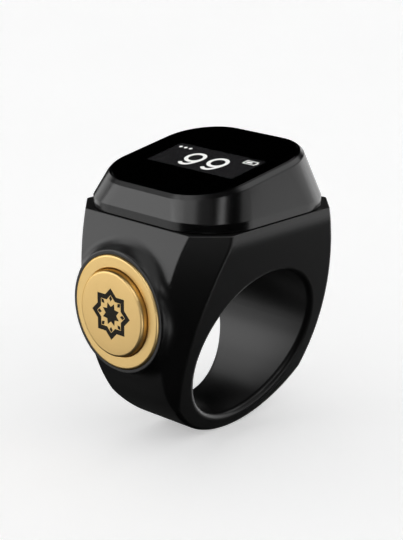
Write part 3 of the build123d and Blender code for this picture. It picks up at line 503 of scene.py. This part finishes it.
@dataclass
class Rosette:
    """Eight-pointed star rosette etched into the face of the button."""

    star_radius: float = 3.3
    notch_share: float = 0.765
    star_band: float = 0.62
    heart_radius: float = 1.52
    heart_share: float = 0.62
    petal_ring: float = 1.98
    petal_length: float = 0.78
    petal_width: float = 0.56
    petal_corners: int = 4
    points: int = 8
    height: float = BUTTON_HEIGHT

    def build(self, front: float, back: float, name: str) -> bpy.types.Object:
        """Models the star band, the heart star and the ring of petals as one thin solid.

        Args:
            front: Distance of the outer face from the finger axis.
            back: Distance of the inner face from the finger axis.
            name: Name of the piece.

        Returns:
            The rosette.
        """
        band = self._star(
            self.star_radius, self.notch_share, front, back, first_point=0, band=self.star_band
        )
        heart = self._star(
            self.heart_radius, self.heart_share, front, back, first_point=1, band=0.0
        )
        return Bench.join([band, heart, *self._petals(front, back)], name)

    def _star(
        self, radius: float, share: float, front: float, back: float, first_point: int, band: float
    ) -> bpy.types.Object:
        """Makes one star, solid or as an open band.

        Args:
            radius: Reach of the points.
            share: Reach of the notches as a share of the radius.
            front: Distance of the outer face from the finger axis.
            back: Distance of the inner face from the finger axis.
            first_point: 0 where a point stands upright, 1 where a notch does.
            band: Width of the band, or zero for a solid star.

        Returns:
            The star as a closed solid.
        """
        star = Bench.disc(radius, front, self.height, 2 * self.points, "star")
        Bench.edit(star)
        middle = Vector((-front, 0.0, self.height)) * MM
        step = math.pi / self.points
        Bench.pick(
            star,
            Element.POINT,
            lambda co: round(math.atan2(co.y, co.z - middle.z) / step) % 2 != first_point,
        )
        bpy.ops.transform.resize(value=(share, share, share), center_override=middle)
        Bench.whole()
        if band:
            bpy.ops.mesh.inset(thickness=band * MM, use_even_offset=True)
            bpy.ops.mesh.delete(type="FACE")
            bpy.ops.mesh.select_all(action="SELECT")
        Bench.extrude((front - back, 0.0, 0.0))
        Bench.close()
        return star

    def _petals(self, front: float, back: float) -> list[bpy.types.Object]:
        """Makes one pointed petal and copies it round the heart.

        Args:
            front: Distance of the outer face from the finger axis.
            back: Distance of the inner face from the finger axis.

        Returns:
            The petals, each with its own mesh.
        """
        up = self.height + self.petal_ring
        first = Bench.disc(self.petal_length / 2, front, up, self.petal_corners, "petal")
        Bench.edit(first)
        Bench.whole()
        slim = self.petal_width / self.petal_length
        middle = Vector((-front, 0.0, up)) * MM
        bpy.ops.transform.resize(value=(1.0, slim, 1.0), center_override=middle)
        Bench.extrude((front - back, 0.0, 0.0))
        Bench.close()
        petals = []
        hub = Vector((0.0, 0.0, self.height * MM))
        for turn in range(self.points):
            petal = Bench.copy(first)
            angle = 2 * math.pi * turn / self.points
            spin = Matrix.Translation(hub) @ Matrix.Rotation(angle, 4, "X") @ Matrix.Translation(-hub)
            petal.matrix_world = spin
            petals.append(Bench.settle(petal, f"petal_{turn}"))
        bpy.data.objects.remove(first)
        return petals


@dataclass
class ButtonCap:
    """Gold push cap with the etched rosette on its face."""

    face: float = 16.81
    radius: float = 5.449
    edge_round: float = 0.4
    flange_front: float = 14.67
    flange_back: float = 14.07
    flange_radius: float = 6.349
    stem_radius: float = 1.2
    stem_tip: float = 11.42
    height: float = BUTTON_HEIGHT
    sides: int = 160
    edge_segments: int = 8
    touch: float = 0.001
    etch_depth: float = 0.08
    inlay_sunk: float = 0.03
    inlay_foot: float = 0.07
    rosette: Rosette = field(default_factory=Rosette)

    def build(self, paints: Paints) -> list[bpy.types.Object]:
        """Models the cap, etches it and lays in the dark colour.

        Args:
            paints: Materials to dress it in.

        Returns:
            The cap and its inlay.
        """
        cap = self._turned()
        tool_front, tool_back = self.face + self.etch_depth, self.face - self.etch_depth
        self._etch(cap, self.rosette.build(tool_front, tool_back, "etching_tool"))
        paints.dress(cap, "gold_cap")
        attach(cap, "button")
        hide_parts("button_cap")
        inlay_front, inlay_back = self.face - self.inlay_sunk, self.face - self.inlay_foot
        inlay = self.rosette.build(inlay_front, inlay_back, "rosette_inlay")
        paints.dress(inlay, "etched_umber")
        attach(inlay, "button")
        return [cap, inlay]

    def _turned(self) -> bpy.types.Object:
        """Turns the cap from a disc: wall, flange and stem are drawn out of it in steps.

        Returns:
            The plain cap.
        """
        cap = Bench.disc(self.radius, self.face, self.height, self.sides, "engraved_cap")
        Bench.edit(cap)
        Bench.whole()
        widening = self.flange_radius / self.radius
        narrowing = self.stem_radius / self.flange_radius
        Bench.draw(self.face, self.flange_front, self.height, growth=1.0)
        Bench.draw(self.flange_front, self.flange_front, self.height, growth=widening)
        Bench.draw(self.flange_front, self.flange_back, self.height, growth=1.0)
        Bench.draw(self.flange_back, self.flange_back, self.height, growth=narrowing)
        Bench.draw(self.flange_back, self.stem_tip, self.height, growth=1.0)
        front = -(self.face - self.touch) * MM
        rim = (self.radius - self.touch) * MM
        hub = self.height * MM
        Bench.pick(cap, Element.EDGE, lambda co: co.x < front and math.hypot(co.y, co.z - hub) > rim)
        bpy.ops.mesh.bevel(offset=self.edge_round * MM, segments=self.edge_segments, affect="EDGES")
        Bench.pick(cap, Element.FACE, lambda co: co.x < front)
        bpy.ops.mesh.poke()
        Bench.close()
        return cap

    @staticmethod
    def _etch(cap: bpy.types.Object, cutter: bpy.types.Object) -> None:
        """Cuts the rosette into the face.

        Args:
            cap: Plain cap.
            cutter: Solid that is taken away.
        """
        Bench.hold(cap)
        cut = cap.modifiers.new("etching", "BOOLEAN")
        cut.operation = "DIFFERENCE"
        cut.solver = "MANIFOLD"
        cut.object = cutter
        bpy.ops.object.modifier_apply(modifier=cut.name)
        bpy.data.objects.remove(cutter)
        bpy.ops.object.shade_smooth_by_angle(angle=SMOOTH_ANGLE)


@dataclass
class SnapDome:
    """Domed spring disc under the plunger, which flattens as the button goes in."""

    foot: float = 10.4
    rise: float = 0.27
    radius: float = 1.1
    sheet: float = 0.05
    travel: float = 0.25
    height: float = BUTTON_HEIGHT
    sides: int = 64
    rings: int = 9
    touch: float = 0.001

    def build(self, paints: Paints) -> list[bpy.types.Object]:
        """Presses the disc, dresses it and fixes it to the counter.

        Args:
            paints: Materials to dress it in.

        Returns:
            The disc.
        """
        dome = self._pressed()
        paints.dress(dome, "dome_steel")
        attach(dome, "counter")
        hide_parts("snap_dome")
        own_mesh(dome)
        return [dome]

    def _pressed(self) -> bpy.types.Object:
        """Presses a flat disc into a shallow dome, its back drawn after its front.

        Returns:
            The dome as a closed sheet.
        """
        dome = Bench.disc(self.radius, self.foot, self.height, self.sides, "domed_spring")
        Bench.edit(dome)
        Bench.whole()
        ball = (self.radius**2 + self.rise**2) / (2 * self.rise)
        centre = self.foot + self.rise - ball
        self._arch(ball, centre, first=1)
        Bench.pick(dome, Element.FACE, lambda co: co.x > -(self.foot + self.touch) * MM)
        self._arch(ball - self.sheet, centre, first=0)
        Bench.close()
        bpy.ops.object.shade_smooth_by_angle(angle=SMOOTH_ANGLE)
        return dome

    def _arch(self, ball: float, centre: float, first: int) -> None:
        """Draws the selected face up over part of a ball, ring by ring.

        Args:
            ball: Radius of the ball.
            centre: Distance of its centre from the finger axis.
            first: Ring to begin with; 0 lies at the foot.
        """
        slope = math.acos((self.foot - centre) / ball)
        level, reach = self.foot, self.radius
        for ring in range(first, self.rings):
            angle = slope * (1 - ring / self.rings)
            ring_level, ring_reach = centre + ball * math.cos(angle), ball * math.sin(angle)
            Bench.draw(level, ring_level, self.height, ring_reach / reach)
            level, reach = ring_level, ring_reach


@dataclass
class Nine:
    """One numeral nine: a round bowl and a tail that hooks back, drawn with one stroke width."""

    bowl_radius: float = 1.2
    stroke: float = 0.52
    tail_radius: float = 3.2
    tail_degrees: float = 36.0
    hook_radius: float = 0.92
    hook_degrees: float = 112.0
    end_round: float = 0.24
    tail_step: float = 0.001
    bowl_steps: int = 72
    tail_steps: int = 16
    hook_steps: int = 32
    end_segments: int = 5
    weld: float = 0.0001

    def build(self, low: float, high: float) -> bpy.types.Object:
        """Draws the numeral flat, with its bowl round the origin, X to the right and Y up.

        Args:
            low: Level of its underside.
            high: Level of its face.

        Returns:
            The numeral as one piece.
        """
        bowl = self._start("bowl")
        self._sweep((0.0, 0.0), 2 * math.pi, self.bowl_steps)
        self._thicken(low, high)
        tail = self._start("tail")
        turn = math.radians(self.tail_degrees)
        centre = self.bowl_radius - self.tail_radius
        self._sweep((centre, 0.0), turn, self.tail_steps)
        reach = self.tail_radius - self.hook_radius
        hook = (centre + reach * math.cos(turn), -reach * math.sin(turn))
        self._sweep(hook, math.radians(self.hook_degrees), self.hook_steps)
        bpy.ops.mesh.select_mode(type="VERT")
        bpy.ops.mesh.bevel(offset=self.end_round * MM, segments=self.end_segments, affect="VERTICES")
        self._thicken(low, high - self.tail_step)
        return Bench.join([bowl, tail], "nine")

    def _start(self, name: str) -> bpy.types.Object:
        """Lays the first edge of a stroke across the right side of the bowl.

        Args:
            name: Name of the piece.

        Returns:
            The piece, open in edit mode with its edge selected.
        """
        Bench.clear()
        side = (self.bowl_radius * MM, 0.0, 0.0)
        bpy.ops.mesh.primitive_plane_add(size=self.stroke * MM, location=side)
        piece = Bench.settle(bpy.context.object, name)
        Bench.edit(piece)
        Bench.pick(piece, Element.POINT, lambda co: co.y < 0.0)
        bpy.ops.mesh.delete(type="VERT")
        Bench.pick(piece, Element.EDGE, lambda co: True)
        bpy.ops.transform.translate(value=(0.0, -self.stroke / 2 * MM, 0.0))
        return piece

    @staticmethod
    def _sweep(centre: Pair, angle: float, steps: int) -> None:
        """Carries the selected edge round a centre.

        Args:
            centre: Centre of the turn.
            angle: Angle of the turn, clockwise.
            steps: How many faces the turn takes.
        """
        hub = (centre[0] * MM, centre[1] * MM, 0.0)
        bpy.ops.mesh.spin(steps=steps, angle=angle, center=hub, axis=(0.0, 0.0, 1.0))

    def _thicken(self, low: float, high: float) -> None:
        """Gives the open stroke its thickness and closes the piece.

        Args:
            low: Level of its underside.
            high: Level of its face.
        """
        bpy.ops.mesh.select_all(action="SELECT")
        bpy.ops.mesh.remove_doubles(threshold=self.weld * MM)
        bpy.ops.transform.translate(value=(0.0, 0.0, low * MM))
        Bench.whole()
        Bench.extrude((0.0, 0.0, high - low))
        Bench.close()


@dataclass
class Display:
    """Lit part of the display with its count and small signs, laid on the cover glass."""

    centre: Spot = (-0.49, 0.0, 22.49)
    tilt_degrees: float = 9.17
    field_x: Pair = (-3.4, 2.9)
    field_y: Pair = (-7.7, 6.8)
    field_round: float = 0.12
    field_proud: float = 0.006
    sign_proud: float = 0.012
    sunk: float = 0.05
    numeral: Nine = field(default_factory=Nine)
    count_across: tuple[float, ...] = (-1.40, 2.45)
    count_up: float = -0.15
    dot_place: Pair = (1.9, 5.1)
    dot_size: float = 0.5
    dot_pitch: float = 0.85
    dot_round_share: float = 0.98
    dots: int = 3
    gauge_place: Pair = (1.75, -6.2)
    gauge_size: Pair = (1.95, 1.05)
    gauge_line: float = 0.16
    gauge_gap: float = 0.32
    gauge_corner: float = 0.02
    gauge_tuck: float = 0.1
    gauge_stud_share: float = 0.4
    gauge_fill_share: float = 0.7
    corner_segments: int = 5

    def build(self, paints: Paints) -> list[bpy.types.Object]:
        """Models the lit field, the count, the row of dots and the charge gauge.

        Args:
            paints: Materials to dress them in.

        Returns:
            The field and what is shown on it.
        """
        spans = (self.field_x, self.field_y)
        lit = self._plate(*spans, self.field_round, self.field_proud, "display_field")
        self._fit(lit, "display_grey", paints)
        shown = [self._number(), self._dot_row(), self._gauge()]
        for piece in shown:
            self._fit(piece, "display_white", paints)
        return [lit, *shown]

    def _frame(self) -> Matrix:
        """Place of the glass: X up the display, Z out of it."""
        tilt = Matrix.Rotation(-math.radians(self.tilt_degrees), 4, "Y")
        return Matrix.Translation(Vector(self.centre) * MM) @ tilt

    @staticmethod
    def _fit(piece: bpy.types.Object, finish: str, paints: Paints) -> None:
        """Dresses a flat piece and fixes it to the counter."""
        paints.dress(piece, finish)
        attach(piece, "counter")

    def _plate(
        self, span_x: Pair, span_y: Pair, corner: float, proud: float, name: str
    ) -> bpy.types.Object:
        """Makes a thin plate with rounded corners on the glass.

        Args:
            span_x: Low and high edge up the display.
            span_y: Low and high edge across it.
            corner: Radius of the corners.
            proud: Height over the glass.
            name: Name of the piece.

        Returns:
            The plate.
        """
        Bench.clear()
        bpy.ops.mesh.primitive_plane_add(size=1.0)
        plate = bpy.context.object
        width, depth = span_x[1] - span_x[0], span_y[1] - span_y[0]
        plate.scale = (width * MM, depth * MM, 1.0)
        plate.location = Vector((sum(span_x) / 2, sum(span_y) / 2, -self.sunk)) * MM
        Bench.settle(plate, name)
        Bench.edit(plate)
        bpy.ops.mesh.select_all(action="SELECT")
        bpy.ops.mesh.bevel(offset=corner * MM, segments=self.corner_segments, affect="VERTICES")
        bpy.ops.mesh.select_all(action="SELECT")
        Bench.extrude((0.0, 0.0, self.sunk + proud))
        Bench.close()
        plate.matrix_world = self._frame()
        return Bench.settle(plate, name)

    def _number(self) -> bpy.types.Object:
        """Makes the count from one numeral, copied across the display.

        Returns:
            The numerals as one piece.
        """
        first = self.numeral.build(-self.sunk, self.sign_proud)
        turn = Matrix.Rotation(-math.pi / 2, 4, "Z")
        digits = []
        for place, across in enumerate(self.count_across):
            digit = Bench.copy(first)
            spot = Matrix.Translation(Vector((self.count_up, -across, 0.0)) * MM)
            digit.matrix_world = self._frame() @ spot @ turn
            digits.append(Bench.settle(digit, f"digit_{place}"))
        bpy.data.objects.remove(first)
        return Bench.join(digits, "display_count")

    def _dot_row(self) -> bpy.types.Object:
        """Makes a row of round dots.

        Returns:
            The dots as one piece.
        """
        up, across = self.dot_place
        half = self.dot_size / 2
        corner = half * self.dot_round_share
        dots = []
        for step in range(self.dots):
            side = across + ((self.dots - 1) / 2 - step) * self.dot_pitch
            spans = ((up - half, up + half), (side - half, side + half))
            dots.append(self._plate(*spans, corner, self.sign_proud, f"dot_{step}"))
        return Bench.join(dots, "display_dots")

    def _gauge(self) -> bpy.types.Object:
        """Makes a charge gauge: outline, level and end stud.

        Returns:
            The gauge as one piece.
        """
        up, across = self.gauge_place
        wide, tall = self.gauge_size
        line, gap = self.gauge_line, self.gauge_gap
        low, high = up - tall / 2, up + tall / 2
        left, right = across + wide / 2, across - wide / 2
        level_end = left - gap - (wide - 2 * gap) * self.gauge_fill_share
        bare = line * (1 - self.gauge_tuck)
        stud = tall * self.gauge_stud_share / 2
        bars = (
            ((low, low + line), (right, left)),
            ((high - line, high), (right, left)),
            ((low + bare, high - bare), (left - line, left)),
            ((low + bare, high - bare), (right, right + line)),
            ((low + gap, high - gap), (level_end, left - gap)),
            ((up - stud, up + stud), (right - line, right + line * self.gauge_tuck)),
        )
        pieces = [
            self._plate(*spans, self.gauge_corner, self.sign_proud, f"gauge_{place}")
            for place, spans in enumerate(bars)
        ]
        return Bench.join(pieces, "display_gauge")


@dataclass
class Housing:
    """The parts carried over from the frame, dressed in their finishes."""

    finishes: dict[str, str] = field(default_factory=lambda: dict(NODE_FINISH))

    def dress(self, paints: Paints) -> list[bpy.types.Object]:
        """Gives every carried-over part its finish.

        Args:
            paints: Materials to dress the parts in.

        Returns:
            The dressed parts.
        """
        for name, finish in self.finishes.items():
            paints.dress(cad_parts[name], finish)
        return [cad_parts[name] for name in self.finishes]


class Reach(Enum):
    """Pieces that a lamp lights; OBJECT stands for all but the spared ones."""

    OBJECT = ()
    BODY = ("ring_body",)
    BEZEL = ("bezel",)
    GOLD = ("trim_ring", "engraved_cap")


@dataclass(frozen=True)
class SoftBox:
    """One large soft lamp, with its place, size and aim in millimetres."""

    name: str
    place: Spot
    size: Pair
    glow: float
    aim: Spot = (0.0, 0.0, 0.0)
    reach: Reach = Reach.OBJECT
    spared: tuple[str, ...] = ("floor",)

    def light(self) -> None:
        """Hangs the lamp; its power follows from how bright its face is."""
        data = bpy.data.lights.new(self.name, "AREA")
        data.shape = "RECTANGLE"
        data.size = self.size[0] * MM
        data.size_y = self.size[1] * MM
        data.energy = self.glow * math.pi * data.size * data.size_y
        lamp = bpy.data.objects.new(self.name, data)
        bpy.context.collection.objects.link(lamp)
        lamp.location = Vector(self.place) * MM
        aim = Vector(self.aim) - Vector(self.place)
        lamp.rotation_euler = aim.to_track_quat("-Z", "Y").to_euler()
        lamp.visible_camera = False
        lit = bpy.data.collections.new(f"{self.name}_reach")
        for name in self.reach.value or self.spared:
            lit.objects.link(bpy.data.objects[name])
        if self.reach is Reach.OBJECT:
            for held in lit.collection_objects:
                held.light_linking.link_state = "EXCLUDE"
        lamp.light_linking.receiver_collection = lit


@dataclass
class Studio:
    """Pale floor, soft lamps and the camera."""

    floor_height: float = -12.3
    floor_half: float = 1800.0
    floor_cuts: int = 3
    margin: float = 1.0
    eye: Spot = (-148.92, -142.49, 73.25)
    target: Spot = (-0.50, 0.52, 7.91)
    lens: float = 113.33
    sensor: float = 36.0
    near_clip: float = 10.0
    sky: float = 0.44
    wall_height: float = 1800.0
    cove_radius: float = 900.0
    cove_segments: int = 12
    lamps: tuple[SoftBox, ...] = (
        SoftBox("left_back_box", (-302.0, 291.0, 95.0), size=(420.0, 244.0), glow=2.35,
                aim=(0.0, 0.0, 95.0), spared=("floor", "cover_glass", "display_field")),
        SoftBox("back_box", (0.0, 430.0, 0.0), size=(240.0, 260.0), glow=1.1),
        SoftBox("left_high_box", (-290.0, 320.0, 330.0), size=(260.0, 190.0), glow=0.65,
                aim=(0.0, 0.0, 20.0), reach=Reach.BEZEL),
        SoftBox("bore_low_card", (-219.0, 281.0, 233.0), size=(240.0, 110.0), glow=1.75,
                reach=Reach.BODY),
        SoftBox("bore_high_card", (-47.0, 131.0, 137.0), size=(105.0, 57.0), glow=1.7,
                reach=Reach.BODY),
        SoftBox("left_box", (-337.0, 157.0, 234.0), size=(140.0, 190.0), glow=2.5,
                aim=(0.0, 0.0, 20.0), reach=Reach.BEZEL),
        SoftBox("left_side_box", (-345.0, 12.0, 309.0), size=(170.0, 150.0), glow=1.25,
                aim=(0.0, 0.0, 20.0), reach=Reach.BEZEL),
        SoftBox("corner_left_card", (-254.0, -147.0, 334.0), size=(170.0, 130.0), glow=0.28,
                aim=(0.0, 0.0, 20.0), reach=Reach.BEZEL),
        SoftBox("corner_right_card", (199.0, -345.0, 180.0), size=(152.0, 152.0), glow=0.8,
                aim=(0.0, 0.0, 20.0), reach=Reach.BEZEL),
        SoftBox("low_left_box", (-302.0, 291.0, -125.0), size=(420.0, 180.0), glow=0.9,
                aim=(0.0, 0.0, -125.0)),
        SoftBox("floor_card", (-45.0, 32.0, -13.0), size=(64.0, 60.0), glow=0.045,
                aim=(-45.0, 32.0, 100.0), reach=Reach.BODY),
        SoftBox("under_back_card", (90.0, 278.0, -273.0), size=(300.0, 160.0), glow=0.04,
                reach=Reach.BODY),
        SoftBox("right_front_box", (377.0, -264.0, -8.0), size=(320.0, 340.0), glow=1.27,
                aim=(0.0, 0.0, -8.0)),
        SoftBox("lip_card", (128.0, -366.0, -172.0), size=(150.0, 150.0), glow=1.6, reach=Reach.BODY),
        SoftBox("boss_high_card", (0.0, -56.0, 430.0), size=(680.0, 608.0), glow=0.75,
                aim=(0.0, -56.0, 0.0), reach=Reach.BODY),
        SoftBox("boss_side_card", (72.0, -411.0, 104.0), size=(220.0, 150.0), glow=0.7,
                reach=Reach.BODY),
        SoftBox("right_box", (455.0, 64.0, -25.0), size=(405.0, 330.0), glow=1.15,
                aim=(0.0, 0.0, -25.0)),
        SoftBox("right_body_card", (436.0, 61.0, -24.0), size=(230.0, 316.0), glow=1.6,
                aim=(0.0, 0.0, -24.0), reach=Reach.BODY),
        SoftBox("right_low_card", (385.0, 70.0, -215.0), size=(220.0, 150.0), glow=1.25,
                reach=Reach.BODY),
        SoftBox("high_right_box", (385.0, -140.0, 459.0), size=(330.0, 360.0), glow=1.75,
                aim=(0.0, 0.0, 20.0), spared=("floor", "bezel")),
        SoftBox("rim_card", (385.0, -140.0, 459.0), size=(330.0, 360.0), glow=1.0,
                aim=(0.0, 0.0, 20.0), reach=Reach.BEZEL),
        SoftBox("strip_box", (-113.0, -294.0, 312.0), size=(64.0, 110.0), glow=3.5,
                aim=(0.0, 0.0, 19.0)),
        SoftBox("right_back_box", (322.0, 270.0, -10.0), size=(300.0, 160.0), glow=0.2,
                aim=(0.0, 0.0, -10.0)),
        SoftBox("low_right_back_box", (291.0, 291.0, -126.0), size=(300.0, 120.0), glow=0.6),
        SoftBox("front_fill", (-290.0, -285.0, 60.0), size=(260.0, 170.0), glow=0.3,
                aim=(0.0, 0.0, 10.0)),
        SoftBox("ceiling_left", (-500.0, 75.0, 900.0), size=(1200.0, 550.0), glow=0.6,
                aim=(-500.0, 75.0, 0.0), reach=Reach.BEZEL),
        SoftBox("ceiling_right", (900.0, -200.0, 900.0), size=(1200.0, 800.0), glow=0.4,
                aim=(900.0, -200.0, 0.0)),
        SoftBox("boss_front_card", (-292.0, -245.0, 200.0), size=(120.0, 130.0), glow=2.2,
                reach=Reach.BODY),
        SoftBox("bezel_end_card", (450.0, -63.0, -8.0), size=(180.0, 160.0), glow=0.8,
                reach=Reach.BEZEL),
        SoftBox("gold_face_card", (-289.0, 279.0, -123.0), size=(320.0, 220.0), glow=0.22,
                reach=Reach.GOLD),
        SoftBox("gold_wall_card", (-270.0, -262.0, -118.0), size=(320.0, 180.0), glow=1.9,
                reach=Reach.GOLD),
        SoftBox("gold_side_card", (-430.0, 0.0, 45.0), size=(220.0, 200.0), glow=0.7, reach=Reach.GOLD),
        SoftBox("gold_high_card", (-305.0, -123.0, 276.0), size=(260.0, 200.0), glow=3.0,
                reach=Reach.GOLD),
    )

    def build(self, paints: Paints) -> None:
        """Lays the floor, hangs the lamps and sets the camera.

        Args:
            paints: Materials to dress the floor in.
        """
        self._floor(paints)
        for lamp in self.lamps:
            lamp.light()
        world = bpy.data.worlds.new("studio_air")
        bpy.context.scene.world = world
        world.use_nodes = True
        backdrop = world.node_tree.nodes["Background"]
        backdrop.inputs["Color"].default_value = (self.sky, self.sky, self.sky, 1.0)
        world.cycles_visibility.glossy = False
        self._camera()
        bpy.context.scene.view_settings.view_transform = "Standard"
        LOG.info("studio with %d lamps", len(self.lamps))

    def _floor(self, paints: Paints) -> None:
        """Lays a wide pale floor with a coved wall, which shows to the camera and not in the gloss.

        Args:
            paints: Materials to dress it in.
        """
        Bench.clear()
        middle = (0.0, 0.0, self.floor_height * MM)
        bpy.ops.mesh.primitive_plane_add(size=2 * self.floor_half * MM, location=middle)
        floor = Bench.settle(bpy.context.object, "floor")
        Bench.edit(floor)
        bpy.ops.mesh.select_all(action="SELECT")
        bpy.ops.mesh.subdivide(number_cuts=self.floor_cuts)
        edge = (self.floor_half - self.margin) * MM
        low = (self.floor_height + self.margin) * MM
        Bench.pick(floor, Element.EDGE, lambda co: max(abs(co.x), abs(co.y)) > edge)
        Bench.extrude((0.0, 0.0, self.wall_height))
        Bench.pick(floor, Element.EDGE, lambda co: max(abs(co.x), abs(co.y)) > edge and co.z < low)
        bpy.ops.mesh.bevel(offset=self.cove_radius * MM, segments=self.cove_segments, affect="EDGES")
        bpy.ops.object.mode_set(mode="OBJECT")
        bpy.ops.object.shade_smooth()
        paints.dress(floor, "pale_floor")
        floor.visible_glossy = False
        floor.visible_shadow = False

    def _camera(self) -> None:
        """Sets the camera at the photograph's viewing angle."""
        data = bpy.data.cameras.new("camera")
        data.lens = self.lens
        data.sensor_width = self.sensor
        data.clip_start = self.near_clip * MM
        camera = bpy.data.objects.new("camera", data)
        bpy.context.collection.objects.link(camera)
        camera.location = Vector(self.eye) * MM
        aim = Vector(self.target) - Vector(self.eye)
        camera.rotation_euler = aim.to_track_quat("-Z", "Y").to_euler()
        bpy.context.scene.camera = camera


def main() -> None:
    """Builds the looks in order and reports each piece."""
    logging.basicConfig(level=logging.INFO, format="%(name)s: %(message)s")
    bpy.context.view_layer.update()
    paints = Paints()
    pieces = Housing().dress(paints)
    for assembly in (ButtonCap(), SnapDome(), Display()):
        pieces += assembly.build(paints)
    Studio().build(paints)
    for piece in pieces:
        LOG.info("%s: %d faces", piece.name, len(piece.data.polygons))


if __name__ == "__main__":
    main()
